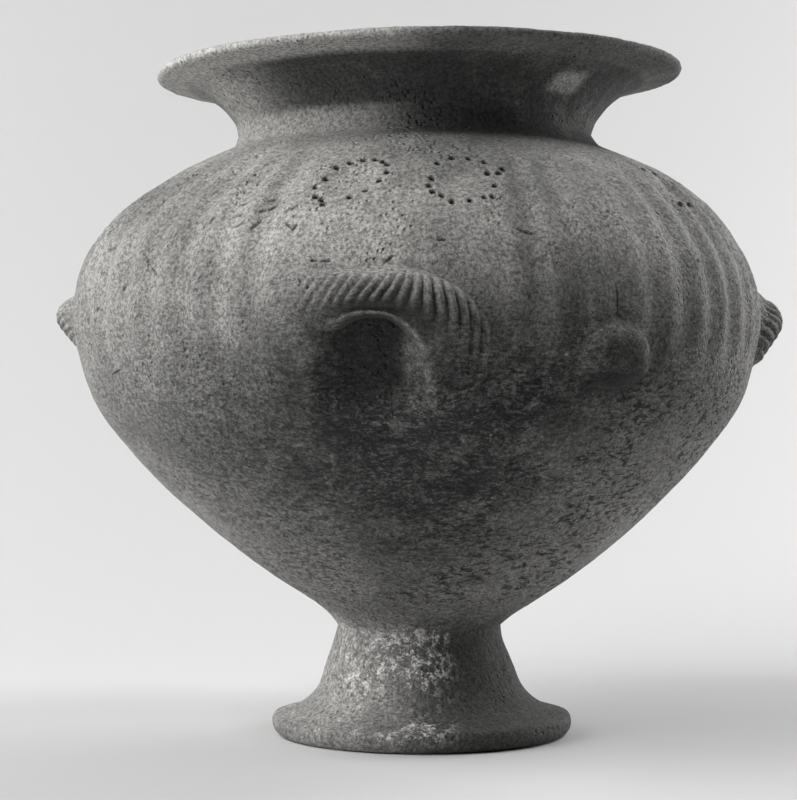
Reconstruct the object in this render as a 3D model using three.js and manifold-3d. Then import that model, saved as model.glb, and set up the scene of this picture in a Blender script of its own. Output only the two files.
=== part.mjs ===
import * as THREE from 'three';
import { mergeVertices } from 'three/addons/utils/BufferGeometryUtils.js';
import Module from 'manifold-3d';

// A hand-built impasto olla: a wide jar on a trumpet foot, with a flaring rim, a fluted shoulder
// and four rope-notched arch handles. Sizes are millimetres and +Z is up. The origin is the middle
// of the foot's underside. Azimuth 0 faces -Y and grows towards +X.

// Driving dimensions
const footRadius = 70;
const footLipRadius = 74.4;
const footLipMiddle = 6.4;
const footLipThickness = 8;
const waistRadius = 40.5;
const waistHeight = 54;
const bellyRadius = 169.8;
const bellyHeight = 206;
const neckRadius = 87.6;
const neckHeight = 296.2;
const rimRadius = 130.2;
const rimHeight = 329.4;
const rimThickness = 5.6;
const wallThickness = 9.5;
const bowlFloorHeight = 70;
const footHollowHeight = 56;
const footHollowRadius = 60;

const rimTilt = 0.0165;
const rimBackLift = 0.018;
const tiltStart = 285;
const tiltEnd = 315;

const fluteCount = 52;
const fluteDepth = 1.8;
const carvedBottom = 145;
const fluteBottom = 176;
const fluteTop = 280;
const firstFlute = 17.6;
const plainZoneHalfAngle = 15;

const ropeNotch = 1.8;
const rollDepth = 10;
const rollHalfWidth = 9;
const legSink = 9;
const endSink = 3;

const clayColour = 0x5a5957;

const radians = THREE.MathUtils.degToRad;
const smooth = THREE.MathUtils.smoothstep;

// The hollow under the foot, as radius and height from its ceiling down
const footHollow = [[17, 55], [29, 48], [35.5, 36], [40.5, 23], [50, 9]];

// Outlines as radius and height, each smoothed by one curve
const footOutline = [
  [65.2, 12], [55.8, 17.6], [50.6, 24], [46, 36], [41.8, 47.5], [waistRadius, waistHeight],
];
const bowlOutline = [
  [waistRadius, waistHeight], [46.5, 60], [78.7, 82], [114.5, 111.7], [143.5, 141.6], [159, 163.5],
  [166.6, 186], [bellyRadius, bellyHeight], [165.4, 230], [151.9, 251.6], [137.9, 264.8],
  [119.9, 276.7], [102.3, 284.9], [91.7, 289.9], [neckRadius, neckHeight],
];
const flareOutline = [
  [neckRadius, neckHeight], [89.4, 302.8], [97.3, 312.8], [106.4, 319.1], [117.6, 323.2],
];
const liningOutline = [
  [rimRadius - 9, 328.6], [107, 326], [91.5, 318], [81, 304.5], [78.6, 294], [86, 284.5],
  [110, 271], [131, 257.5], [147, 240], [156.6, 222], [bellyRadius - wallThickness, bellyHeight],
  [156.8, 186], [147, 161], [128, 138], [98, 110], [62, 82], [30, 71.5],
];

// How far the middle of the hand-built wall strays to the right at each height
const wallDrift = [
  [0, 1.9], [48, -0.2], [54, 0.4], [66, 3.2], [90, 2.2], [120, 0.8], [150, 0], [206, -0.8],
  [240, -1.6], [258, -0.4], [272, 1.4], [284, 0.4], [296, -2], [329, 0.6],
];

// Each handle's place, how far it stands out, and how its legs spread, drop and thicken inwards
const handles = [
  {
    azimuth: -4.4, apex: 208, lift: 7.5, pitch: 5.8, smear: 4, hollowTurn: -2.4,
    left: { span: 52, drop: 7, flank: 0 }, right: { span: 38, drop: 32, flank: 0.8 },
  },
  {
    azimuth: 98.5, apex: 210, lift: 5.2, pitch: 9.5, smear: 17, hollowTurn: 0,
    left: { span: 38, drop: 31, flank: 0.5 }, right: { span: 40, drop: 30, flank: 0.5 },
  },
  {
    azimuth: 177, apex: 208, lift: 6, pitch: 9.5, smear: 8, hollowTurn: 0,
    left: { span: 40, drop: 30, flank: 0.5 }, right: { span: 40, drop: 32, flank: 0.5 },
  },
  {
    azimuth: -99, apex: 211, lift: 3, pitch: 9.5, smear: 19, hollowTurn: 0,
    left: { span: 40, drop: 28, flank: 0.5 }, right: { span: 38, drop: 21, flank: 0.3 },
  },
];
const hollow = { height: 185, halfWidth: 27, halfHeight: 17, halfDepth: 13, outset: 8 };

const boss = { azimuth: 31, height: 184, halfWidth: 19, halfHeight: 12.5, halfDepth: 8, outset: 0 };

// Where the wall swells smoothly into the lower legs of the front handle
const swells = [
  { azimuth: -17, height: 186, halfWidth: 46, halfHeight: 50, out: 9 },
  { azimuth: 4.5, height: 180, halfWidth: 28, halfHeight: 44, out: 10 },
];

function curveThrough(outline) {
  const points = outline.map(([radius, height]) => new THREE.Vector3(radius, 0, height));
  return new THREE.CatmullRomCurve3(points, false, 'centripetal');
}

function between(table, height) {
  const last = table.length - 1;
  if (height <= table[0][0]) return table[0][1];
  if (height >= table[last][0]) return table[last][1];
  const upper = table.findIndex((row) => row[0] > height);
  const [lowHeight, lowValue] = table[upper - 1];
  const [highHeight, highValue] = table[upper];
  return THREE.MathUtils.mapLinear(height, lowHeight, highHeight, lowValue, highValue);
}

const bowlTable = curveThrough(bowlOutline).getPoints(240).map((point) => [point.z, point.x]);

function wallRadius(height) {
  return between(bowlTable, height);
}

// A place on the vessel, with the drift of the wall and the tilt of the rim
function place(azimuth, radius, height) {
  const x = radius * Math.sin(azimuth) + between(wallDrift, height);
  const y = -radius * Math.cos(azimuth);
  const tilted = THREE.MathUtils.clamp((height - tiltStart) / (tiltEnd - tiltStart), 0, 1);
  const rise = x * rimTilt + Math.max(y, 0) * rimBackLift;
  return new THREE.Vector3(x, y, height + rise * tilted);
}

function angleFrom(azimuth, centre) {
  const turn = THREE.MathUtils.radToDeg(azimuth) - centre;
  return Math.abs(((turn % 360) + 540) % 360 - 180);
}

// Depth of the flutes, which leave bare zones over the front and back handles
function fluteCut(azimuth, height) {
  const up = smooth(height, fluteBottom, fluteBottom + 24);
  const down = 1 - smooth(height, fluteTop - 22, fluteTop);
  const front = smooth(angleFrom(azimuth, -2), plainZoneHalfAngle, plainZoneHalfAngle + 7);
  const back = smooth(angleFrom(azimuth, 177), plainZoneHalfAngle, plainZoneHalfAngle + 7);
  const wave = (1 + Math.cos(fluteCount * (azimuth - radians(firstFlute)))) / 2;
  return fluteDepth * up * down * front * back * wave;
}

function swellOut(azimuth, height) {
  let out = 0;
  for (const swell of swells) {
    const aside = (radians(angleFrom(azimuth, swell.azimuth)) * bellyRadius) / swell.halfWidth;
    const above = (height - swell.height) / swell.halfHeight;
    out += swell.out * Math.max(0, 1 - aside ** 2 - above ** 2) ** 2;
  }
  return out;
}

const coarse = fluteCount / 2;
const even = fluteCount;
const fine = fluteCount * 2;

// Points round the rounded edge of a lip, at the given turns from level
function lipTurns(turns, radius, middle, thickness) {
  return turns.map((turn) => {
    const lean = radians(turn);
    return [radius - (thickness / 2) * (1 - Math.cos(lean)), middle + (thickness / 2) * Math.sin(lean)];
  });
}

// The rows of the vessel, from the top of the foot's hollow, down, out, up and over into the bowl
function vesselRows() {
  const rows = [];
  const add = (count, radius, height) => rows.push({ count, radius, height });

  for (const [radius, height] of footHollow) add(coarse, radius, height);
  add(even, footHollowRadius, 0);
  add(even, footRadius, 0);

  for (const [radius, height] of lipTurns([-40, 5, 65], footLipRadius, footLipMiddle, footLipThickness)) {
    add(even, radius, height);
  }
  for (const point of curveThrough(footOutline).getPoints(6).slice(0, -1)) add(even, point.x, point.z);

  const bowl = curveThrough(bowlOutline).getSpacedPoints(18);
  for (const point of bowl) {
    const carved = point.z > carvedBottom && point.z < fluteTop;
    add(carved ? fine : even, point.x, point.z);
  }
  for (const point of curveThrough(flareOutline).getPoints(5).slice(1)) add(even, point.x, point.z);

  const rimMiddle = rimHeight - rimThickness / 2;
  for (const [radius, height] of lipTurns([-45, 15, 70], rimRadius, rimMiddle, rimThickness)) {
    add(even, radius, height);
  }
  for (const point of curveThrough(liningOutline).getPoints(11)) add(coarse, point.x, point.z);
  return rows;
}

function bridge(triangles, lower, upper) {
  const at = (ring, index) => ring.start + (index % ring.count);
  const steps = Math.min(lower.count, upper.count);
  const low = lower.count / steps;
  const high = upper.count / steps;
  for (let i = 0; i < steps; i += 1) {
    const a = at(lower, i * low);
    const b = at(lower, (i + 1) * low);
    const c = at(upper, (i + 1) * high);
    const d = at(upper, i * high);
    if (high > low) {
      const middle = at(upper, i * high + 1);
      triangles.push(a, b, middle, a, middle, d, b, c, middle);
    } else if (low > high) {
      const middle = at(lower, i * low + 1);
      triangles.push(a, middle, d, middle, c, d, middle, b, c);
    } else {
      triangles.push(a, b, c, a, c, d);
    }
  }
}

function meshFrom(positions, triangles) {
  const geometry = new THREE.BufferGeometry();
  geometry.setAttribute('position', new THREE.Float32BufferAttribute(positions, 3));
  geometry.setIndex(triangles);
  return geometry;
}

function vessel() {
  const positions = [];
  const triangles = [];
  const rings = vesselRows().map(({ count, radius, height }) => {
    const start = positions.length / 3;
    for (let i = 0; i < count; i += 1) {
      const azimuth = radians(firstFlute) + (i / count) * Math.PI * 2;
      const carving = count === fine ? swellOut(azimuth, height) - fluteCut(azimuth, height) : 0;
      positions.push(...place(azimuth, radius + carving, height).toArray());
    }
    return { start, count };
  });
  for (let i = 0; i + 1 < rings.length; i += 1) bridge(triangles, rings[i], rings[i + 1]);

  const first = rings[0];
  const last = rings[rings.length - 1];
  const ceiling = positions.length / 3;
  positions.push(...place(0, 0, footHollowHeight).toArray());
  const floor = positions.length / 3;
  positions.push(...place(0, 0, bowlFloorHeight).toArray());
  for (let i = 0; i < first.count; i += 1) {
    triangles.push(ceiling, first.start + ((i + 1) % first.count), first.start + i);
  }
  for (let i = 0; i < last.count; i += 1) {
    triangles.push(last.start + i, last.start + ((i + 1) % last.count), floor);
  }
  return meshFrom(positions, triangles);
}

// Middle line of an arch handle, from its left foot over the apex to its right foot
function rollPoint(handle, part) {
  const turn = Math.PI * part;
  const leg = part < 0.5 ? handle.left : handle.right;
  const height = handle.apex - leg.drop * (1 - Math.sin(turn));
  const sunk = legSink * (1 - Math.sin(turn)) + endSink * (1 - smooth(Math.min(part, 1 - part), 0, 0.08));
  const azimuth = radians(handle.azimuth) - (leg.span * Math.cos(turn)) / bellyRadius;
  return place(azimuth, wallRadius(height) + handle.lift - sunk, height);
}

// The roll's section there, in steps outwards and towards the outside of the arch. The last value
// says how much of the rope's ridge a point carries.
function rollSection(handle, part) {
  const leg = part < 0.5 ? handle.left : handle.right;
  const flank = leg.flank * smooth(Math.abs(part - 0.5), 0.05, 0.3);
  const smear = 1.3 + (handle.smear / rollHalfWidth) * Math.sin(Math.PI * part) ** 2;
  return [
    [1, 0, 1], [0.85, -0.6 - 0.5 * flank, 0.7], [0.35, -0.95 - flank, 0], [-1, -0.6 - flank, 0],
    [-1.3, smear - 0.4, 0], [-0.9, smear, 0], [0.7, 0.75, 1],
  ];
}

function rollLength(handle) {
  let length = 0;
  for (let i = 0; i < 60; i += 1) {
    length += rollPoint(handle, i / 60).distanceTo(rollPoint(handle, (i + 1) / 60));
  }
  return length;
}

// A rolled strip of clay pressed on as an arch, its face notched like a rope
function ropeRoll(handle) {
  const steps = 2 * Math.round(rollLength(handle) / handle.pitch);
  const positions = [];
  const triangles = [];
  let count = 0;
  for (let i = 0; i <= steps; i += 1) {
    const part = i / steps;
    const centre = rollPoint(handle, part);
    const before = rollPoint(handle, Math.max(part - 0.01, 0));
    const along = rollPoint(handle, Math.min(part + 0.01, 1)).sub(before).normalize();
    const outward = new THREE.Vector3(centre.x, centre.y, 0).normalize();
    const across = outward.clone().cross(along).normalize();
    const size = 0.45 + 0.55 * Math.sqrt(smooth(Math.min(part, 1 - part), -0.02, 0.09));
    const ridge = i % 2 === 0 ? -ropeNotch : 0;
    const section = rollSection(handle, part);
    count = section.length;
    for (const [out, over, carried] of section) {
      const point = centre.clone();
      point.addScaledVector(outward, size * out * rollDepth + ridge * carried * out);
      point.addScaledVector(across, size * over * rollHalfWidth + ridge * carried * over);
      positions.push(...point.toArray());
    }
  }
  for (let i = 0; i < steps; i += 1) {
    for (let j = 0; j < count; j += 1) {
      const a = i * count + j;
      const b = i * count + ((j + 1) % count);
      triangles.push(a, b, b + count, a, b + count, a + count);
    }
  }
  const end = steps * count;
  for (let j = 1; j + 1 < count; j += 1) {
    triangles.push(0, j + 1, j, end, end + j, end + j + 1);
  }
  return meshFrom(positions, triangles);
}

// A rounded lump of clay on the wall, or the shape of one to press into it
function lump({ azimuth, height, halfWidth, halfHeight, halfDepth, outset }) {
  const geometry = new THREE.SphereGeometry(1, 14, 8);
  geometry.scale(halfWidth, halfDepth, halfHeight);
  geometry.rotateZ(radians(azimuth));
  const centre = place(radians(azimuth), wallRadius(height) + outset, height);
  return geometry.translate(centre.x, centre.y, centre.z);
}

const wasm = await Module();
wasm.setup();

function solid(geometry) {
  geometry.deleteAttribute('normal');
  geometry.deleteAttribute('uv');
  const merged = mergeVertices(geometry);
  return new wasm.Manifold(new wasm.Mesh({
    numProp: 3,
    vertProperties: new Float32Array(merged.getAttribute('position').array),
    triVerts: new Uint32Array(merged.getIndex().array),
  }));
}

let clay = solid(vessel()).add(solid(lump(boss)));
for (const handle of handles) clay = clay.add(solid(ropeRoll(handle)));
for (const handle of handles) {
  const azimuth = handle.azimuth + handle.hollowTurn;
  clay = clay.subtract(solid(lump({ azimuth, ...hollow })));
}

const fired = clay.getMesh();
const olla = new THREE.Mesh(
  meshFrom(Array.from(fired.vertProperties), Array.from(fired.triVerts)),
  new THREE.MeshStandardMaterial({ color: clayColour, roughness: 0.85, metalness: 0 }),
);
olla.name = 'olla';

const group = new THREE.Group();
group.add(olla);
export default group;
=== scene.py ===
import math
import bmesh
import bpy
import numpy as np
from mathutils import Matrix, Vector


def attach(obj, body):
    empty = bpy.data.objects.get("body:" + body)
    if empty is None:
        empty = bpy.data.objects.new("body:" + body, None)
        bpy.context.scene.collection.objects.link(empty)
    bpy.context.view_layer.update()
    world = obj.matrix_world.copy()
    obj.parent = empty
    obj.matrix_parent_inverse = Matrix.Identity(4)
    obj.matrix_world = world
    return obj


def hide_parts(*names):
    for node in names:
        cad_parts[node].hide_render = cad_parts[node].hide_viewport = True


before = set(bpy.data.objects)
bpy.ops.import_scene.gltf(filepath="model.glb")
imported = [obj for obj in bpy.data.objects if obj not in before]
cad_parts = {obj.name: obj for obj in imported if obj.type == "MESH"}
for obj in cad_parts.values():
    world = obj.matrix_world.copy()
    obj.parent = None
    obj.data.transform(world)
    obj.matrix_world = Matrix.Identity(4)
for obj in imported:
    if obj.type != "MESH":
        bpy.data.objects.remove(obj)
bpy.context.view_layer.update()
print("frame loaded")

mm = 0.001

# the shape of the wall

wall = {
    "bellyRadius": 169.8,
    "rimTilt": 0.0165,       # rise to the right, per mm
    "rimBackLift": 0.018,    # rise of the far half of the rim, per mm
    "tiltStart": 285.0,
    "tiltEnd": 315.0,
}

# radius and height of each stretch of the outline, in mm
footHollow = [(0, 56), (17, 55), (29, 48), (35.5, 36), (40.5, 23), (50, 9), (60, 0.4)]
footLip = [
    (60, 0.4), (61.5, 0.1), (69, 0.1), (72, 1.2), (73.8, 3.6), (74.4, 6.6), (74.0, 9.2), (73.2, 10.1),
]
footStem = [(73.2, 10.1), (65.2, 12), (55.8, 17.6), (50.6, 24), (46, 36), (41.8, 47.5), (40.5, 54)]
bowl = [
    (40.5, 54), (46.5, 60), (78.7, 82), (114.5, 111.7), (143.5, 141.6), (159, 163.5),
    (166.6, 186), (169.8, 206), (165.4, 230), (151.9, 251.6), (137.9, 264.8),
    (119.9, 276.7), (102.3, 284.9), (91.7, 289.9), (87.6, 296.2),
]
flare = [(87.6, 296.2), (89.4, 302.8), (97.3, 312.8), (106.4, 319.1), (117.6, 323.0), (126, 324.4)]
rimLip = [(126, 324.4), (129, 325.2), (130.2, 326.8), (129.6, 328.4), (127, 329.3), (121.2, 328.8)]
lining = [
    (121.2, 328.8), (107, 326), (91.5, 318), (81, 304.5), (78.6, 294), (86, 284.5),
    (110, 271), (131, 257.5), (147, 240), (156.6, 222), (160.3, 206),
    (156.8, 186), (147, 161), (128, 138), (98, 110), (62, 82), (30, 71.5), (0, 70),
]
# how far the middle of the hand-built wall strays to the right at each height
wallDrift = [
    (0, 1.9), (48, -0.2), (54, 0.4), (66, 3.2), (90, 2.2), (120, 0.8), (150, 0), (206, -0.8),
    (240, -1.6), (258, -0.4), (272, 1.4), (284, 0.4), (296, -2), (329, 0.6),
]


def smoothStep(x, low, high):
    t = np.clip((x - low) / (high - low), 0, 1)
    return t * t * (3 - 2 * t)


def between(x, rise, fall):
    # 1 between two smooth slopes and 0 outside them
    return smoothStep(x, *rise) * (1 - smoothStep(x, *fall))


def smoothCurve(points, step=0.3):
    # a centripetal curve through the points, in even small steps
    pts = np.array(points, float)
    pts = np.vstack([2 * pts[0] - pts[1], pts, 2 * pts[-1] - pts[-2]])
    out = []
    for i in range(1, len(pts) - 2):
        p0, p1, p2, p3 = pts[i - 1:i + 3]
        t1 = max(np.linalg.norm(p1 - p0), 1e-6) ** 0.5
        t2 = t1 + max(np.linalg.norm(p2 - p1), 1e-6) ** 0.5
        t3 = t2 + max(np.linalg.norm(p3 - p2), 1e-6) ** 0.5
        count = max(int(np.linalg.norm(p2 - p1) / step), 2)
        t = np.linspace(t1, t2, count, endpoint=False)[:, None]
        a1 = (t1 - t) / t1 * p0 + t / t1 * p1
        a2 = (t2 - t) / (t2 - t1) * p1 + (t - t1) / (t2 - t1) * p2
        a3 = (t3 - t) / (t3 - t2) * p2 + (t - t2) / (t3 - t2) * p3
        b1 = (t2 - t) / t2 * a1 + t / t2 * a2
        b2 = (t3 - t) / (t3 - t1) * a2 + (t - t1) / (t3 - t1) * a3
        out.append((t2 - t) / (t2 - t1) * b1 + (t - t1) / (t2 - t1) * b2)
    out.append(pts[-2][None])
    return np.vstack(out)


bowlCurve = smoothCurve(bowl)


def wallRadius(height):
    return np.interp(height, bowlCurve[:, 1], bowlCurve[:, 0])


def onWall(azimuth, radius, height):
    # a place on the vessel in mm, with the drift of the wall and the tilt of the rim
    heights, drifts = zip(*wallDrift)
    x = radius * np.sin(azimuth) + np.interp(height, heights, drifts)
    y = -radius * np.cos(azimuth)
    tilted = np.clip((height - wall["tiltStart"]) / (wall["tiltEnd"] - wall["tiltStart"]), 0, 1)
    rise = x * wall["rimTilt"] + np.maximum(y, 0) * wall["rimBackLift"]
    return np.stack([x, y, height + rise * tilted], axis=-1)


def turnFrom(azimuth, centre):
    # signed angle from a centre given in degrees
    return (azimuth - math.radians(centre) + math.pi) % (2 * math.pi) - math.pi


# what is carved into the wall or swells out of it

handles = [
    {"name": "front", "azimuth": -4.4, "apex": 208, "lift": 7.5, "pitch": 4.9, "smear": 3, "worn": 0.15,
     "left": {"span": 52, "drop": 7}, "right": {"span": 38, "drop": 32}},
    {"name": "right", "azimuth": 98.5, "apex": 210, "lift": 5.2, "pitch": 5.6, "smear": 17, "worn": 0.8,
     "left": {"span": 38, "drop": 31}, "right": {"span": 40, "drop": 30}},
    {"name": "back", "azimuth": 177, "apex": 208, "lift": 6, "pitch": 5.6, "smear": 8, "worn": 0.8,
     "left": {"span": 40, "drop": 30}, "right": {"span": 40, "drop": 32}},
    {"name": "left", "azimuth": -99, "apex": 211, "lift": 3, "pitch": 5.6, "smear": 19, "worn": 0.8,
     "left": {"span": 40, "drop": 28}, "right": {"span": 38, "drop": 21}},
]

# how deep the legs and the ends of a roll sink into the wall, and its lowest place, in mm
handle = {"legSink": 9.0, "endSink": 3.0, "endShare": 0.08, "deepest": -7.5}

# slopes of the hollows: across in mm from the handle's middle, up in mm
fingerHollow = {
    "depth": 8.0, "floor": (158, 174), "roof": (204, 214), "frontLeft": (-36, -14), "frontRight": 7,
    "otherShare": 0.62, "otherLeft": (-30, -14), "otherRight": (14, 30),
}

# the crest of the front handle's right leg: mm from the handle's middle at each height
crest = {
    "heights": [158, 165, 177, 182, 187, 194], "places": [21.5, 20.5, 19, 17, 13, 11],
    "out": 2.2, "halfWidth": 4.5, "foot": (154, 172), "head": (184, 192),
}

swells = [
    {"azimuth": -17, "height": 186, "halfWidth": 46, "halfHeight": 50, "out": 9},
    {"azimuth": 4.5, "height": 177, "halfWidth": 28, "halfHeight": 42, "out": 9},
]


def crestAt(height):
    return np.interp(height, crest["heights"], crest["places"])


def wallSwell(azimuth, height):
    s = turnFrom(azimuth, handles[0]["azimuth"]) * wall["bellyRadius"]
    ridge = np.exp(-((s - crestAt(height)) / crest["halfWidth"]) ** 2)
    out = crest["out"] * ridge * between(height, crest["foot"], crest["head"])
    for swell in swells:
        aside = turnFrom(azimuth, swell["azimuth"]) * wall["bellyRadius"] / swell["halfWidth"]
        above = (height - swell["height"]) / swell["halfHeight"]
        out += swell["out"] * np.maximum(0, 1 - aside ** 2 - above ** 2) ** 2
    return out


def hollowShare(azimuth, height):
    # how far a place lies in one of the finger hollows, 0 to 1
    share = np.zeros_like(azimuth)
    for item in handles:
        s = turnFrom(azimuth, item["azimuth"]) * wall["bellyRadius"]
        if item["name"] == "front":
            start = fingerHollow["frontRight"]
            right = np.clip((s - start) / (crestAt(height) - start), 0, 1)
            sides = smoothStep(s, *fingerHollow["frontLeft"]) * (1 - right)
        else:
            sides = between(s, fingerHollow["otherLeft"], fingerHollow["otherRight"])
            sides = sides * fingerHollow["otherShare"]
        share = np.maximum(share, sides * between(height, fingerHollow["floor"], fingerHollow["roof"]))
    return share


# the flutes fade in and out over these heights, and over these degrees beside the two plain fields
flutes = {"low": (170, 208), "high": (262, 282), "plainFields": (-3, 177), "beside": (14, 23)}

# shallow finger-pressed cups, each ringed by awl holes at these turns and distances
cups = [
    {"azimuth": -11.7, "height": 261.3, "radius": 14, "depth": 2.3, "holes": [
        (134, 13.9), (108, 14.2), (86, 15.5), (67, 17.1), (54, 17.4), (42, 17.3), (20, 15.3), (354, 12.5),
        (314, 11.3), (280, 13.3), (242, 18.6), (233, 16.8), (221, 17.5), (200, 15.8), (173, 12.2)]},
    {"azimuth": 8.4, "height": 260.2, "radius": 15, "depth": 2.1, "holes": [
        (131, 18.1), (106, 19.3), (83, 18.5), (60, 18), (36, 12.3), (24, 16.1), (32, 19.5), (351, 12.8),
        (318, 15), (306, 13.1), (275, 13.3), (245, 15.5), (223, 14.8), (207, 16.7), (192, 16.5), (173, 15.2)]},
    {"azimuth": 56.6, "height": 264.7, "radius": 13, "depth": 1.4, "holes": [
        (105, 14.1), (160, 16), (182, 13.6), (212, 14.4), (282, 11.9), (346, 18.7), (20, 15), (60, 15.4),
        (250, 14), (315, 14.6)]},
    {"azimuth": 170, "height": 261, "radius": 14, "depth": 1.4, "holes": [
        (12 + 25 * i, 14.5 + 1.5 * math.sin(i * 2.3)) for i in range(14)]},
    {"azimuth": -171, "height": 262, "radius": 14, "depth": 1.4, "holes": [
        (5 + 24 * i, 15 + 1.4 * math.cos(i * 1.7)) for i in range(14)]},
]

cupShape = {"shoulderSlope": 1.75, "edge": (-3, 9)}

# nicks in the shoulder: azimuth, height, half length, turn, half width
nicks = [
    (-34.5, 244.3, 2.6, 50, 1.0), (-29.5, 246.8, 1.6, 20, 0.9), (-28.6, 241.7, 2.8, 40, 1.0),
    (-29.6, 252.5, 2.2, 40, 0.8), (-24.8, 253.3, 3.0, 25, 0.9), (-24.1, 249.4, 2.4, 30, 1.0),
    (-25.7, 247.7, 2.2, 35, 0.8), (-25.7, 241.3, 3.6, 60, 1.0), (-21.1, 246.7, 1.7, 20, 1.0),
    (-19.9, 248.0, 2.6, 30, 0.8), (-19.4, 239.5, 3.0, -30, 1.2), (-18.6, 239.0, 2.4, 60, 1.2),
    (-12.9, 223.0, 2.6, 0, 1.0), (-14.6, 223.1, 1.8, 10, 1.0), (-3.8, 224.0, 2.6, 40, 0.7),
    (4.1, 232.3, 2.4, 0, 0.7), (17.3, 237.5, 6.0, -12, 0.7), (-30.1, 252.1, 1.6, 30, 0.8),
    (-60, 236, 3.2, 35, 0.8), (-52, 216, 3.0, 50, 0.8), (-44, 222, 3.4, -35, 0.8), (50, 228, 2.6, 20, 0.9),
    (-57, 178, 7.0, 12, 0.7), (31.2, 208, 6.5, 88, 0.7),
]
# pale specks that stand a little proud: azimuth, height, half width
paleSpecks = [(22.6, 184.5, 0.8), (41, 232, 0.7), (-24, 262, 0.6), (12, 150, 0.6)]
# awl holes and nicks get painted shade in their floors; pale specks are lighter
nickSizes = {
    "awl": 1.45, "awlDepth": 3.4, "awlShade": -0.8, "nickDepth": 1.1, "nickWidth": 0.72, "nickShade": -0.55,
    "speckDepth": -0.3, "speckPaint": 2.0, "edge": (0.45, 1.25), "refined": 1.0, "cuts": 3,
}

boss = {
    "azimuth": 31, "height": 182.5, "halfWidth": 19, "halfHeight": 12.5, "out": 8,
    "droop": 1.35, "bluntness": 2.4, "rings": 0.6, "ringWave": 1.25, "ringMiddle": (2, -2),
    "undercut": 1.6, "undercutBelow": 2.5, "undercutHeight": 3.2, "undercutWidth": 17,
}


def fluteFade(azimuth, height):
    fade = between(height, flutes["low"], flutes["high"])
    for centre in flutes["plainFields"]:
        fade = fade * smoothStep(np.abs(turnFrom(azimuth, centre)), *np.radians(flutes["beside"]))
    return fade


def cupDepth(azimuth, height):
    deep = np.zeros_like(azimuth)
    for cup in cups:
        s = turnFrom(azimuth, cup["azimuth"]) * wallRadius(cup["height"])
        up = (height - cup["height"]) * cupShape["shoulderSlope"]
        deep += cup["depth"] * smoothStep(cup["radius"] - np.hypot(s, up), *cupShape["edge"])
    return deep


def bossOut(azimuth, height):
    s = turnFrom(azimuth, boss["azimuth"]) * wall["bellyRadius"]
    t = height - boss["height"]
    sag = np.where(t < 0, 1.0, boss["droop"])         # steep below, gentle above
    d = np.hypot(s / boss["halfWidth"], t / (boss["halfHeight"] * sag))
    lump = np.sqrt(np.clip(1 - d ** boss["bluntness"], 0, 1))
    left = smoothStep(-s, -2, 8) * smoothStep(1 - d, -0.2, 0.3)      # the rings show on the left only
    aside, above = boss["ringMiddle"]
    rings = boss["rings"] * left * np.cos(np.hypot(s - aside, t - above) * boss["ringWave"])
    below = (t + boss["halfHeight"] + boss["undercutBelow"]) / boss["undercutHeight"]
    undercut = boss["undercut"] * np.exp(-below ** 2) * np.exp(-(s / boss["undercutWidth"]) ** 4)
    return boss["out"] * lump + rings - undercut


# Painted shade is below zero; rubbed clay, pale specks and painted highlights are above it. A patch fades over
# two pairs of degrees and two of heights.
# painted shade in the finger hollows, lifted where a leg's inner face is lit, and under the boss; the whole
# boss is a little darker too
paintedShade = {
    "hollow": -0.95, "litShare": 0.9, "litFrom": (5, 9), "litTo": (60, 70),
    "boss": -0.25, "underBoss": -0.85, "underFrom": (2, 5), "underTo": (14, 16),
}
# painted light: the lit left of the rim, neck and foot, and the low wall on either side of its middle, made
# lighter
paintedLightPatches = [
    {"place": "left of the rim", "amount": 0.85, "left": (-190, -181), "right": (-25, 4),
     "low": (321, 323.5), "high": (340, 341)},
    {"place": "low wall, right", "amount": 0.24, "left": (8, 34), "right": (90, 130),
     "low": (66, 76), "high": (135, 175)},
    {"place": "low wall, left", "amount": 0.28, "left": (-190, -181), "right": (-24, -8),
     "low": (66, 76), "high": (80, 150)},
    {"place": "left of the neck", "amount": 0.35, "left": (-190, -181), "right": (-25, 4),
     "low": (284, 290), "high": (299, 304)},
    {"place": "left of the foot", "amount": 0.3, "left": (-190, -181), "right": (-60, -22),
     "low": (6, 12), "high": (56, 66)},
]
rubbedSpot = {"azimuth": 46, "height": 313, "radius": 97, "halfWidth": 10, "halfHeight": 4, "amount": 1.1}
# soot and painted shade under the rim and on the right of the neck, thinner on the lit left and behind
sootAndShadePatches = [
    {"place": "under the rim", "amount": 1, "least": 0.12, "left": (-62, -30),
     "low": (298, 303), "high": (320.8, 323.2)},
    {"place": "neck", "amount": 1, "least": 0, "left": (-22, 6), "low": (283, 288), "high": (300, 306)},
    {"place": "lip", "amount": 0.7, "least": 0, "left": (-8, 11), "low": (320, 323), "high": (340, 341)},
]


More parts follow.
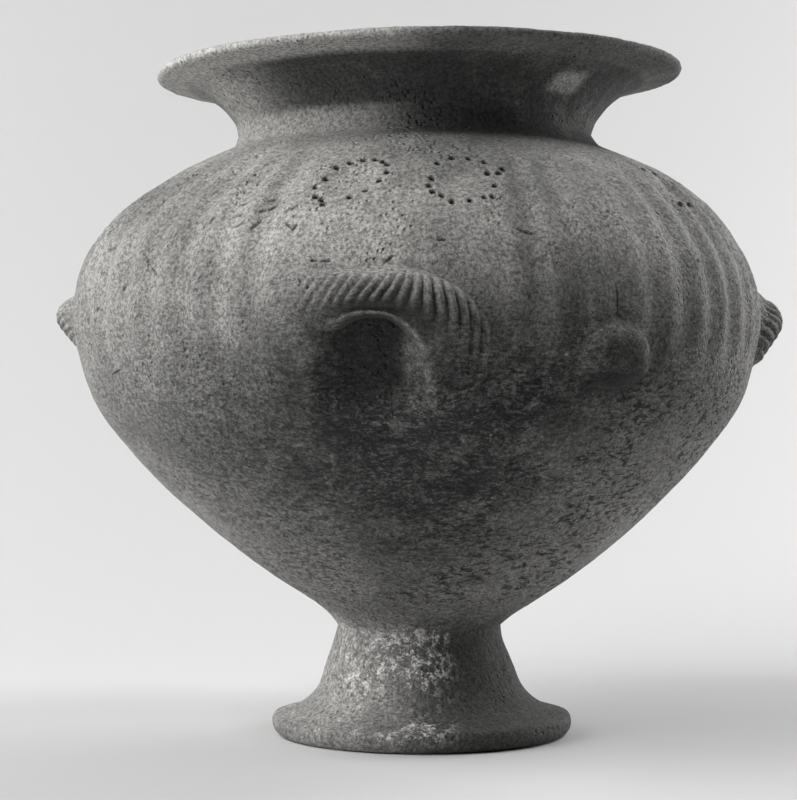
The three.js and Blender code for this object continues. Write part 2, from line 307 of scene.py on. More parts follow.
def wallTone(azimuth, height):
    across = turnFrom(azimuth, handles[0]["azimuth"]) * wall["bellyRadius"]
    # painted shade in the finger hollows, mostly lifted right of the front hollow, where the leg's inner face
    # is lit
    lit = between(across, paintedShade["litFrom"], paintedShade["litTo"])
    tone = paintedShade["hollow"] * hollowShare(azimuth, height) * (1 - paintedShade["litShare"] * lit)
    # painted shade under the boss, and the whole boss a little darker
    s = turnFrom(azimuth, boss["azimuth"]) * wall["bellyRadius"]
    t = height - boss["height"]
    under = between(-t, paintedShade["underFrom"], paintedShade["underTo"]) * (1 - smoothStep(np.abs(s), 12, 20))
    tone += paintedShade["underBoss"] * under
    tone += paintedShade["boss"] * (1 - smoothStep(np.hypot(s / 19, t / 12), 0.7, 1.1))
    # painted light on the lit left and on the sides of the low wall
    for patch in paintedLightPatches:
        aside = between(np.degrees(azimuth), patch["left"], patch["right"])
        tone += patch["amount"] * aside * between(height, patch["low"], patch["high"])
    aside = turnFrom(azimuth, rubbedSpot["azimuth"]) * rubbedSpot["radius"] / rubbedSpot["halfWidth"]
    above = (height - rubbedSpot["height"]) / rubbedSpot["halfHeight"]
    return tone + rubbedSpot["amount"] * np.exp(-(aside ** 4 + above ** 4))


def wallSootAndShade(azimuth, height):
    degrees = np.degrees(azimuth)
    sootAndShade = np.zeros_like(azimuth)
    for patch in sootAndShadePatches:
        aside = patch["least"] + (1 - patch["least"]) * smoothStep(degrees, *patch["left"])
        sootAndShade = np.maximum(sootAndShade, patch["amount"] * aside * between(height, patch["low"], patch["high"]))
    return sootAndShade * (1 - 0.5 * smoothStep(np.abs(degrees), 90, 120))


def meshFrom(name, points, faces):
    mesh = bpy.data.meshes.new(name)
    mesh.from_pydata([tuple(p) for p in points], [], [tuple(f) for f in faces])
    mesh.update()
    piece = bpy.data.objects.new(name, mesh)
    bpy.context.scene.collection.objects.link(piece)
    return piece


def ringFaces(rings, count):
    # quads between rings of points
    faces = []
    for i in range(rings - 1):
        for j in range(count):
            k = (j + 1) % count
            faces.append((i * count + j, i * count + k, (i + 1) * count + k, (i + 1) * count + j))
    return faces


# degrees between the vessel's columns: close at the front, wider past the silhouette
columns = {"turn": 0.7, "moreBehind": 0.95, "silhouette": (72, 92)}

# outline, distance between rows at each height, and the share of the relief that it takes
stretches = [
    (footHollow, [(0, 7), (60, 7)], 0),
    (footLip, [(0, 1.8), (12, 1.8)], 0.5),
    (footStem, [(0, 2.8), (60, 2.8)], 1),
    (bowl, [(54, 3), (80, 4.2), (140, 4.2), (156, 2.2), (285, 2), (300, 2.2)], 1),
    (flare, [(296, 2.2), (330, 2.2)], 1),
    (rimLip, [(320, 1.3), (330, 1.3)], 1),
    (lining, [(0, 12), (290, 11), (330, 3.5)], 0),
]


def closeTurns():
    azimuths = []
    azimuth = -math.pi
    while azimuth < math.pi:
        azimuths.append(azimuth)
        low, high = columns["silhouette"]
        wide = float(smoothStep(np.array(abs(azimuth)), math.radians(low), math.radians(high)))
        azimuth += math.radians(columns["turn"] + columns["moreBehind"] * wide)
    azimuths = np.array(azimuths)
    return -math.pi + (azimuths + math.pi) * (2 * math.pi) / (azimuth + math.pi)


def rowsAlong(points, steps):
    # pick rows of a curve, steps being the distance between rows at each height
    curve = smoothCurve(points)
    heights, gaps = zip(*steps)
    lengths = np.r_[0, np.cumsum(np.linalg.norm(np.diff(curve, axis=0), axis=1))]
    density = np.r_[0, np.cumsum(np.diff(lengths) / np.interp(curve[1:, 1], heights, gaps))]
    count = max(int(round(density[-1])), 1)
    wanted = np.linspace(0, density[-1], count + 1)
    return np.stack([np.interp(wanted, density, curve[:, k]) for k in (0, 1)], axis=1)


def makeVessel():
    rows, outside = [], []
    for points, steps, out in stretches:
        picked = rowsAlong(points, steps)
        if rows:
            picked = picked[1:]
        rows += list(picked)
        outside += [out] * len(picked)
    rows, outside = np.array(rows), np.array(outside)
    rows, outside = rows[1:-1], outside[1:-1]      # the two poles are single points
    azimuths = closeTurns()
    along = np.gradient(rows, axis=0)
    along /= np.linalg.norm(along, axis=1)[:, None]
    normal = np.stack([along[:, 1], -along[:, 0]], axis=1)    # out and up
    az, radius = np.meshgrid(azimuths, rows[:, 0])
    height = np.repeat(rows[:, 1][:, None], len(azimuths), axis=1)
    shade = wallTone(az, height)
    sootAndShade = wallSootAndShade(az, height)
    push = wallSwell(az, height) - fingerHollow["depth"] * hollowShare(az, height)
    push += bossOut(az, height) - cupDepth(az, height)
    carved = (outside == 1)[:, None]
    push = push * carved
    fade = fluteFade(az, height) * carved
    rough = np.repeat(outside[:, None], len(azimuths), axis=1)
    radius = radius + push * normal[:, 0][:, None]
    height = height + push * normal[:, 1][:, None]
    points = onWall(az, radius, height).reshape(-1, 3)
    count = len(azimuths)
    faces = ringFaces(len(rows), count)
    bottom = len(points)
    top = bottom + 1
    poles = np.array([footHollow[0][1], lining[-1][1]], float)
    points = np.vstack([points, onWall(np.zeros(2), np.zeros(2), poles)])
    last = (len(rows) - 1) * count
    for j in range(count):
        k = (j + 1) % count
        faces.append((bottom, k, j))
        faces.append((last + j, last + k, top))
    piece = meshFrom("vessel", points * mm, faces)
    layers = {"turn": az, "fluted": fade, "rough": rough, "tone": shade * carved, "sootAndShade": sootAndShade * (rough > 0.9)}
    addValues(piece, {name: np.r_[values.ravel(), 0, 0] for name, values in layers.items()})
    return piece


def marksOnWall():
    # every awl hole and nick as a place, three directions and its sizes, in mm
    marks = []

    def add(azimuth, height, aside, above, turn, **sizes):
        azimuth = math.radians(azimuth)

        def at(az, z):
            return onWall(az, float(wallRadius(z)), z)

        middle = at(azimuth, height)
        along = at(azimuth + 0.001, height) - middle
        along /= np.linalg.norm(along)
        upward = at(azimuth, height + 0.3) - middle
        upward /= np.linalg.norm(upward)
        out = np.cross(along, upward)
        turn = math.radians(turn)
        first = along * math.cos(turn) + upward * math.sin(turn)
        marks.append({"middle": middle + along * aside + upward * above,
                      "first": first, "second": np.cross(out, first), "out": out, **sizes})

    for cup in cups:
        for turn, distance in cup["holes"]:
            turn = math.radians(turn)
            add(cup["azimuth"], cup["height"], distance * math.cos(turn), distance * math.sin(turn), 0,
                longHalf=nickSizes["awl"], wideHalf=nickSizes["awl"],
                deep=nickSizes["awlDepth"], paint=nickSizes["awlShade"])
    for azimuth, height, longHalf, turn, wideHalf in nicks:
        add(azimuth, height, 0, 0, turn, longHalf=longHalf, wideHalf=wideHalf * nickSizes["nickWidth"],
            deep=nickSizes["nickDepth"], paint=nickSizes["nickShade"])
    for azimuth, height, half in paleSpecks:
        add(azimuth, height, 0, 0, 0, longHalf=half, wideHalf=half,
            deep=nickSizes["speckDepth"], paint=nickSizes["speckPaint"])
    return marks


def pointsOf(piece):
    places = np.empty(len(piece.data.vertices) * 3, dtype=np.float32)
    piece.data.vertices.foreach_get("co", places)
    return places.reshape(-1, 3) / mm


def refineNear(piece, marks):
    # smaller faces round each mark, so that its edge comes out crisp
    edit = bmesh.new()
    edit.from_mesh(piece.data)
    edit.faces.ensure_lookup_table()
    centres = np.array([face.calc_center_median() for face in edit.faces]) / mm
    chosen = np.zeros(len(centres), bool)
    for mark in marks:
        near = np.abs(centres - mark["middle"]).max(axis=1) < mark["longHalf"] + 12
        gap = centres[near] - mark["middle"]
        u = np.maximum(np.abs(gap @ mark["first"]) - mark["longHalf"], 0)
        v = np.maximum(np.abs(gap @ mark["second"]) - mark["wideHalf"], 0)
        chosen[np.flatnonzero(near)[np.hypot(u, v) < nickSizes["refined"]]] = True
    edges = {edge for index in np.flatnonzero(chosen) for edge in edit.faces[int(index)].edges}
    bmesh.ops.subdivide_edges(edit, edges=list(edges), cuts=nickSizes["cuts"], use_grid_fill=True)
    edit.to_mesh(piece.data)
    edit.free()


def pressIn(piece, marks):
    # moves the surface inwards in each mark, then paints shade into the floor of each awl hole and nick, and
    # lightens each pale speck
    places = pointsOf(piece)
    for mark in marks:
        near = np.flatnonzero(np.abs(places - mark["middle"]).max(axis=1) < mark["longHalf"] + 8)
        gap = places[near] - mark["middle"]
        u = (gap @ mark["first"]) / mark["longHalf"]
        v = (gap @ mark["second"]) / mark["wideHalf"]
        inside = 1 - smoothStep(np.hypot(u, v), *nickSizes["edge"])
        places[near] -= (mark["deep"] * inside)[:, None] * mark["out"]
    piece.data.vertices.foreach_set("co", (places * mm).astype(np.float32).ravel())
    tone = piece.data.attributes["tone"]
    values = np.empty(len(places), dtype=np.float32)
    tone.data.foreach_get("value", values)
    for mark in marks:
        gap = places - mark["middle"]
        u = (gap @ mark["first"]) / mark["longHalf"]
        v = (gap @ mark["second"]) / mark["wideHalf"]
        values[(np.hypot(u, v) < 0.95) & (np.abs(gap @ mark["out"]) < 8)] += mark["paint"]
    tone.data.foreach_set("value", values)
    piece.data.update()


def rollPoint(item, part):
    # a place on a roll's middle line, and how far it stands off the wall
    turn = math.pi * part
    leg = item["left"] if part < 0.5 else item["right"]
    height = item["apex"] - leg["drop"] * (1 - math.sin(turn))
    sunk = handle["legSink"] * (1 - math.sin(turn))
    sunk += handle["endSink"] * (1 - float(smoothStep(np.array(min(part, 1 - part)), 0, handle["endShare"])))
    azimuth = math.radians(item["azimuth"]) - leg["span"] * math.cos(turn) / wall["bellyRadius"]
    standing = item["lift"] - sunk
    return onWall(azimuth, float(wallRadius(height)) + standing, height), standing


# Sections of a roll in mm: out from its middle line, towards the outside of the arch, share of the ridges it
# carries, and tone:
# painted shade under the roll and in the hollow beneath it, painted highlights on the hollow's lip and the
# upper edge. The first stands over a finger hollow, the second runs into the wall.
archSection = [
    (-16, 12.5, 0, 0), (-8, 10.8, 0, 0), (-3.4, 9.6, 0, 0.1), (2.6, 8.3, 0.9, 0.1), (7.0, 6.0, 1, 0),
    (9.7, 2.7, 1, -0.1), (10.1, -0.6, 0.9, -0.4), (8.2, -3.0, 0.5, -0.9), (4.8, -4.2, 0.1, -1),
    (2.4, -4.9, 0, -1), (2.0, -5.6, 0, -0.8), (3.3, -6.2, 0, 0.25), (3.0, -6.9, 0, 0), (0.5, -7.8, 0, -0.9),
    (-7, -8.6, 0, -0.9), (-16, -8, 0, -0.9),
]
mergeSection = [
    (-16, 12.5, 0, 0), (-8, 11.2, 0, 0), (-4, 10.2, 0, 0), (0.8, 8.6, 0.7, 0), (4.2, 6.2, 1, 0),
    (6.2, 3.0, 1, 0), (6.6, -0.6, 1, 0), (5.8, -3.6, 0.6, 0), (4.2, -6.4, 0.1, 0),
    (2.2, -8.8, 0, 0), (0, -10.8, 0, 0), (-2.4, -12.6, 0, 0), (-5.2, -14.2, 0, 0), (-8.4, -15.4, 0, 0),
    (-12, -16.4, 0, 0), (-16, -17, 0, 0),
]
# the right leg of the front handle: a wide flank up to a crest, then a steep face into the hollow
legSection = [
    (-16, 12.5, 0, 0), (-8, 11.6, 0, 0), (-4, 11.2, 0, 0.3), (1.8, 10.8, 0.5, 0.3), (6.4, 8.2, 1, 0),
    (8.8, 4.4, 1, -0.1), (9.2, 0.4, 1, -0.3), (7.2, -3.8, 0.5, -0.8), (4.8, -6.6, 0.1, -0.95),
    (3.6, -9.4, 0, -0.9), (3.4, -12.2, 0, -0.5), (3.9, -14.6, 0, 0), (3.2, -16.0, 0, 0.25),
    (-2, -17.6, 0, 0), (-8, -19.4, 0, -0.2), (-16, -22, 0, -0.3),
]
# further down the crest is lower and the face slants
footSection = [
    (-16, 12.5, 0, 0), (-8, 11.8, 0, 0), (-4, 11.2, 0, 0.1), (1.8, 10.6, 0.4, 0.1), (6.0, 8.2, 0.9, 0),
    (8.2, 4.4, 0.9, -0.1), (8.8, 0.2, 0.8, -0.2), (8.0, -4.0, 0.3, -0.4), (7.0, -7.4, 0, -0.4),
    (6.2, -10.4, 0, -0.3), (5.4, -13.4, 0, -0.15), (4.0, -16.2, 0, 0), (2.0, -18.0, 0, 0.05),
    (-3.2, -20.4, 0, 0), (-9.6, -23, 0, 0), (-16, -26, 0, 0),
]


# where along the roll, 0 to 1, one section turns into the next
sectionTurns = {
    "others": (0.08, 0.3), "mergeToArch": (0.3, 0.45), "archToLeg": (0.46, 0.74),
    "legToFoot": (0.68, 0.82), "narrower": (0.86, 0.98), "narrowBy": 0.2,
    "higher": (0.18, 0.46), "lowFrom": 0.65,
}
# distance between a roll's rings in mm, and points in each
rollMesh = {"front": (0.55, 84), "others": (0.95, 56)}
# shares of the roll over which it thickens and its ridges firm up, where across it in mm the
# smeared lip begins, and how the ridges lie
rollShape = {
    "leftEnd": (-0.02, 0.09), "frontLeftEnd": (-0.02, 0.14), "rightEnd": (-0.02, 0.09), "endSize": 0.45,
    "firm": (0.2, 0.44), "smearFrom": (8, 12.5),
    "slant": 0.55, "uprightFrom": (-4, 24), "curl": 0.014, "otherSlant": 0.25,
}


def shareAt(part, limits):
    return float(smoothStep(np.array(part), *limits))


def sectionAt(item, part):
    sections = (archSection, mergeSection, legSection, footSection)
    arch, merge, leg, foot = (np.array(section, float) for section in sections)
    turns = sectionTurns
    if item["name"] != "front":
        return merge + (arch - merge) * shareAt(min(part, 1 - part), turns["others"])
    shape = merge + (arch - merge) * shareAt(part, turns["mergeToArch"])
    shape = shape + (leg - shape) * shareAt(part, turns["archToLeg"])
    shape = shape + (foot - shape) * shareAt(part, turns["legToFoot"])
    shape[:, 1] *= 1 - turns["narrowBy"] * shareAt(part, turns["narrower"])
    shape[:, 0] *= turns["lowFrom"] + (1 - turns["lowFrom"]) * shareAt(part, turns["higher"])
    return shape


def evenly(points, count):
    # the same number of points on every section, at even distances
    curve = smoothCurve(points, 0.4)
    lengths = np.r_[0, np.cumsum(np.linalg.norm(np.diff(curve[:, :2], axis=0), axis=1))]
    wanted = np.linspace(0, lengths[-1], count)
    return np.stack([np.interp(wanted, lengths, curve[:, k]) for k in range(curve.shape[1])], axis=1)


def makeRoll(item):
    front = item["name"] == "front"
    path = np.array([rollPoint(item, i / 60)[0] for i in range(61)])
    length = np.linalg.norm(np.diff(path, axis=0), axis=1).sum()
    gap, count = rollMesh["front" if front else "others"]
    steps = int(length / gap)
    points, run, carry, tone = [], [], [], []
    for i in range(steps + 1):
        part = i / steps
        centre, standing = rollPoint(item, part)
        direction = rollPoint(item, min(part + 0.01, 1))[0] - rollPoint(item, max(part - 0.01, 0))[0]
        direction /= np.linalg.norm(direction)
        outward = np.array([centre[0], centre[1], 0])
        outward /= np.linalg.norm(outward)
        across = np.cross(outward, direction)
        across /= np.linalg.norm(across)
        leftEnd = shareAt(part, rollShape["frontLeftEnd" if front else "leftEnd"])
        ends = leftEnd * shareAt(1 - part, rollShape["rightEnd"])
        size = rollShape["endSize"] + (1 - rollShape["endSize"]) * math.sqrt(ends)
        smear = item["smear"] * math.sin(math.pi * part) ** 2
        firm = item["worn"] + (1 - item["worn"]) * shareAt(part, rollShape["firm"])
        section = evenly(sectionAt(item, part), count)
        section[:, 1] += smear * smoothStep(section[:, 1], *rollShape["smearFrom"])
        section[:, :2] *= size
        section[:, 0] = np.maximum(section[:, 0], handle["deepest"] - standing)
        places = centre + section[:, 0][:, None] * outward + section[:, 1][:, None] * across
        points.append(places)
        carry.append(section[:, 2] * ends * firm)
        # painted shade and painted highlights, read from the section
        tone.append(section[:, 3])
        if front:
            # here the ridges stand upright on the right and lean over on the left
            s = turnFrom(np.arctan2(places[:, 0], -places[:, 1]), item["azimuth"]) * wall["bellyRadius"]
            rise = places[:, 2] - centre[2]
            right = smoothStep(s, *rollShape["uprightFrom"])
            run.append(s - rollShape["slant"] * rise * (1 - right) + rollShape["curl"] * rise ** 2 * right)
        else:
            run.append(np.full(count, part * length) - rollShape["otherSlant"] * section[:, 1])
    points = np.vstack(points)
    faces = ringFaces(steps + 1, count)
    faces.append(tuple(reversed(range(count))))
    faces.append(tuple(range(steps * count, (steps + 1) * count)))
    piece = meshFrom("rope" + item["name"].capitalize(), points * mm, faces)
    addValues(piece, {"run": np.hstack(run), "carry": np.hstack(carry), "tone": np.hstack(tone)})
    return piece


def addValues(piece, layers):
    for name, values in layers.items():
        layer = piece.data.attributes.new(name, "FLOAT", "POINT")
        layer.data.foreach_set("value", np.array(values, dtype=np.float32))


class Tree:
    # a small helper that builds a node tree line by line
    def __init__(self, tree):
        self.tree = tree

    def add(self, kind, *inputs, **settings):
        node = self.tree.nodes.new(kind)
        for name, value in settings.items():
            setattr(node, name, value)
        for socket, value in zip(node.inputs, inputs):
            self.put(socket, value)
        return node

    def put(self, socket, value):
        if value is None:
            return
        if isinstance(value, bpy.types.NodeSocket):
            self.tree.links.new(value, socket)
        else:
            socket.default_value = value

    def math(self, operation, *inputs):
        return self.add("ShaderNodeMath", *inputs, operation=operation).outputs[0]

    def times(self, *values):
        product = values[0]
        for value in values[1:]:
            product = self.math("MULTIPLY", product, value)
        return product

    def scaled(self, vector, amount):
        node = self.add("ShaderNodeVectorMath", operation="SCALE")
        self.put(node.inputs[0], vector)
        self.put(node.inputs["Scale"], amount)
        return node.outputs[0]


def clayTree(name, inputs):
    # a Geometry Nodes tree with a mesh in, a mesh out and named sizes
    tree = bpy.data.node_groups.new(name, "GeometryNodeTree")
    tree.interface.new_socket("Mesh", in_out="INPUT", socket_type="NodeSocketGeometry")
    for label, value in inputs.items():
        socket = tree.interface.new_socket(label, in_out="INPUT", socket_type="NodeSocketFloat")
        socket.default_value = value
    tree.interface.new_socket("Mesh", in_out="OUTPUT", socket_type="NodeSocketGeometry")
    made = Tree(tree)
    start = made.add("NodeGroupInput").outputs
    return tree, made, start


def namedValue(made, name):
    node = made.add("GeometryNodeInputNamedAttribute", data_type="FLOAT")
    node.inputs["Name"].default_value = name
    return node.outputs["Attribute"]


def finishTree(tree, made, mesh):
    real = made.add("GeometryNodeRealizeInstances", mesh)
    painted = made.add("GeometryNodeSetMaterial", real.outputs[0])
    painted.inputs["Material"].default_value = clay
    made.add("NodeGroupOutput", painted.outputs[0])
    return tree


def pushOut(made, mesh, distance):
    # moves the surface along its normal
    normal = made.add("GeometryNodeInputNormal").outputs[0]
    moved = made.add("GeometryNodeSetPosition")
    made.put(moved.inputs["Geometry"], mesh)
    made.put(moved.inputs["Offset"], made.scaled(normal, distance))
    return moved.outputs[0]


def addTone(made, mesh, amount):
    # adds to the tone that the clay reads
    store = made.add("GeometryNodeStoreNamedAttribute", data_type="FLOAT", domain="POINT")
    made.put(store.inputs["Geometry"], mesh)
    store.inputs["Name"].default_value = "tone"
    made.put(store.inputs["Value"], made.math("ADD", namedValue(made, "tone"), amount))
    return store.outputs["Geometry"]


def noiseAt(made, scale, detail, seed, roughness=0.55):
    # noise from -1 to 1, its seed counted on from the tree's own
    noise = made.add("ShaderNodeTexNoise", noise_dimensions="4D")
    made.put(noise.inputs["W"], seed)
    made.put(noise.inputs["Scale"], scale)
    noise.inputs["Detail"].default_value = detail
    noise.inputs["Roughness"].default_value = roughness
    return made.times(made.math("SUBTRACT", noise.outputs[0], 0.5), 2.0)


relief = {
    "Flute Count": 52.0, "Flute Depth": 0.002, "First Flute": math.radians(17.6),
    "Unevenness": 0.9, "Uneven Scale": 14.0, "Lump Height": 0.0011, "Lump Scale": 22.0,
    "Grain Height": 0.00055, "Grain Scale": 210.0, "Pit Depth": 0.0009, "Pit Scale": 130.0,
    "Pit Patch Scale": 26.0, "Painted Pit Shade": -450.0, "Seed": 3.0,
}


def vesselTree():
    # flutes pressed by hand, then the lumps, grain and pits of the coarse clay, with painted shade in the pits
    tree, made, start = clayTree("fluteAndGrain", relief)

    def seed(more):
        return made.math("ADD", start["Seed"], more)

    phase = made.math("SUBTRACT", namedValue(made, "turn"), start["First Flute"])
    wave = made.math("COSINE", made.times(phase, start["Flute Count"]))
    wave = made.times(made.math("ADD", wave, 1.0), 0.5)
    uneven = made.times(noiseAt(made, start["Uneven Scale"], 1, seed(4.0)), start["Unevenness"])
    cut = made.times(wave, namedValue(made, "fluted"), made.math("ADD", uneven, 1.0), start["Flute Depth"])
    mesh = pushOut(made, start["Mesh"], made.times(cut, -1.0))
    lumps = made.times(noiseAt(made, start["Lump Scale"], 3, seed(8.0)), start["Lump Height"])
    grain = made.times(noiseAt(made, start["Grain Scale"], 3, seed(2.0), 0.7), start["Grain Height"])
    cells = made.add("ShaderNodeTexVoronoi", feature="F1")
    made.put(cells.inputs["Scale"], start["Pit Scale"])
    near = made.math("SUBTRACT", 1.0, made.times(cells.outputs["Distance"], 2.6))
    near = made.math("MAXIMUM", near, 0.0)
    patch = made.math("SUBTRACT", noiseAt(made, start["Pit Patch Scale"], 2, seed(16.0)), 0.12)
    patch = made.math("MINIMUM", made.times(made.math("MAXIMUM", patch, 0.0), 4.0), 1.0)
    pits = made.times(near, patch, start["Pit Depth"])
    total = made.math("SUBTRACT", made.math("ADD", lumps, grain), pits)
    total = made.times(total, namedValue(made, "rough"))
    # painted shade in the pits
    mesh = addTone(made, mesh, made.times(pits, start["Painted Pit Shade"]))
    return finishTree(tree, made, pushOut(made, mesh, total))


ridges = {
    "Pitch": 4.9, "Groove Depth": 0.0023, "Painted Groove Shade": -0.55, "Ridge Sharpness": 0.75,
    "Wobble": 0.2, "Wobble Scale": 45.0, "Unevenness": 0.6, "Uneven Scale": 70.0,
    "Lump Height": 0.0005, "Lump Scale": 55.0, "Grain Height": 0.0004, "Grain Scale": 230.0, "Seed": 2.0,
}


def ropeTree():
    # slanting grooves along the roll, each ridge rounded like a strand of rope, with painted shade in the
    # grooves
    tree, made, start = clayTree("ropeRidges", ridges)

    def seed(more):
        return made.math("ADD", start["Seed"], more)

    turns = made.math("DIVIDE", namedValue(made, "run"), start["Pitch"])
    wobble = made.times(noiseAt(made, start["Wobble Scale"], 1, seed(0.0)), start["Wobble"])
    turns = made.math("ADD", turns, wobble)
    strand = made.math("ABSOLUTE", made.math("SINE", made.times(turns, math.pi)))
    strand = made.math("POWER", strand, start["Ridge Sharpness"])
    groove = made.times(made.math("SUBTRACT", 1.0, strand), namedValue(made, "carry"))
    uneven = made.times(noiseAt(made, start["Uneven Scale"], 1, seed(29.0)), start["Unevenness"])
    # painted shade in the grooves
    mesh = addTone(made, start["Mesh"], made.times(groove, start["Painted Groove Shade"]))
    groove = made.times(groove, made.math("ADD", 1.0, uneven), start["Groove Depth"])
    rise = made.times(noiseAt(made, start["Lump Scale"], 2, seed(6.0)), start["Lump Height"])
    grain = made.times(noiseAt(made, start["Grain Scale"], 3, seed(3.0), 0.7), start["Grain Height"])
    total = made.math("SUBTRACT", made.math("ADD", rise, grain), groove)
    return finishTree(tree, made, pushOut(made, mesh, total))


def applyTree(piece, tree, values):
    # runs the tree once and keeps its result as the piece's plain mesh
    modifier = piece.modifiers.new(tree.name, "NODES")
    modifier.node_group = tree
    for item in tree.interface.items_tree:
        if item.in_out == "INPUT" and item.name in values:
            modifier[item.identifier] = values[item.name]
    graph = bpy.context.evaluated_depsgraph_get()
    plain = bpy.data.meshes.new_from_object(piece.evaluated_get(graph))
    old = piece.data
    piece.modifiers.clear()
    piece.data = plain
    bpy.data.meshes.remove(old)
    plain.name = piece.name


def trianglesIn(piece):
    return sum(len(face.vertices) - 2 for face in piece.data.polygons)


def fixNormals(piece):
    edit = bmesh.new()
    edit.from_mesh(piece.data)
    bmesh.ops.recalc_face_normals(edit, faces=edit.faces)
    edit.to_mesh(piece.data)
    edit.free()


clayColours = {
    "pale": (0.34, 0.335, 0.32), "middle": (0.17, 0.168, 0.16), "smoke": (0.019, 0.0187, 0.0183),
    "sootAndShade": (0.036, 0.0355, 0.035), "flake": (0.14, 0.138, 0.133), "grit": (0.22, 0.217, 0.21),
    "hole": (0.016, 0.0158, 0.0155), "pock": (0.01, 0.0098, 0.0095), "footRight": (0.036, 0.0355, 0.034),
    "crust": (0.6, 0.59, 0.57), "rubbedAndLit": (0.38, 0.375, 0.36), "paintedShade": (0.014, 0.0138, 0.0135),
}
clayShares = {
    "flaked": 0.5, "grit": 0.5, "holes": 0.75, "pocked": 0.85, "crust": 0.92,
    "rubbedAndLitMost": 0.8, "paintedShade": -0.85, "paintedShadeMost": 0.85,
}
# Slopes along one axis, in metres: where each begins and ends, then its least and most.
clayPlaces = {
    "smokeTop": (0.243, 0.165), "smokeFront": (-0.03, -0.13),
    "smokeLeft": (-0.14, -0.04, 0.15, 1.0), "smokeRight": (0.13, 0.06, 0.5, 1.0),
    "low": (0.25, 0.19, 0.15, 1.0),
    "pockTop": (0.21, 0.165), "pockLeft": (-0.14, 0.02, 0.35, 1.0), "pockFoot": (0.062, 0.075),
    "footTop": (0.07, 0.048), "footRight": (-0.022, 0.012, 0.0, 0.88), "footBack": (0.06, 0.01, 0.25, 1.0),
    "crustTop": (0.063, 0.05), "crustLow": (0.018, 0.034, 0.2, 1.0),
    "crustLeft": (-0.05, -0.03, 0.4, 1.0), "crustRight": (0.024, 0.004),
    "edgeTop": (0.0145, 0.0125), "edgeLow": (0.0045, 0.0085, 0.0, 0.75),
}
# how ragged the smoke's edge is, how the scraping draws out the grit, then speckle, sheen and bump
clayFinish = {
    "ragged": 0.07, "flatness": 2.4, "speckleScale": 560.0, "speckle": (0.36, 1.6), "roughness": 0.82,
    "specular": 0.35, "fineBump": 0.55, "wideBump": 0.6, "pitBump": 1.1, "pockBump": 0.3,
    "bump": 0.95, "bumpDepth": 0.0014,
}


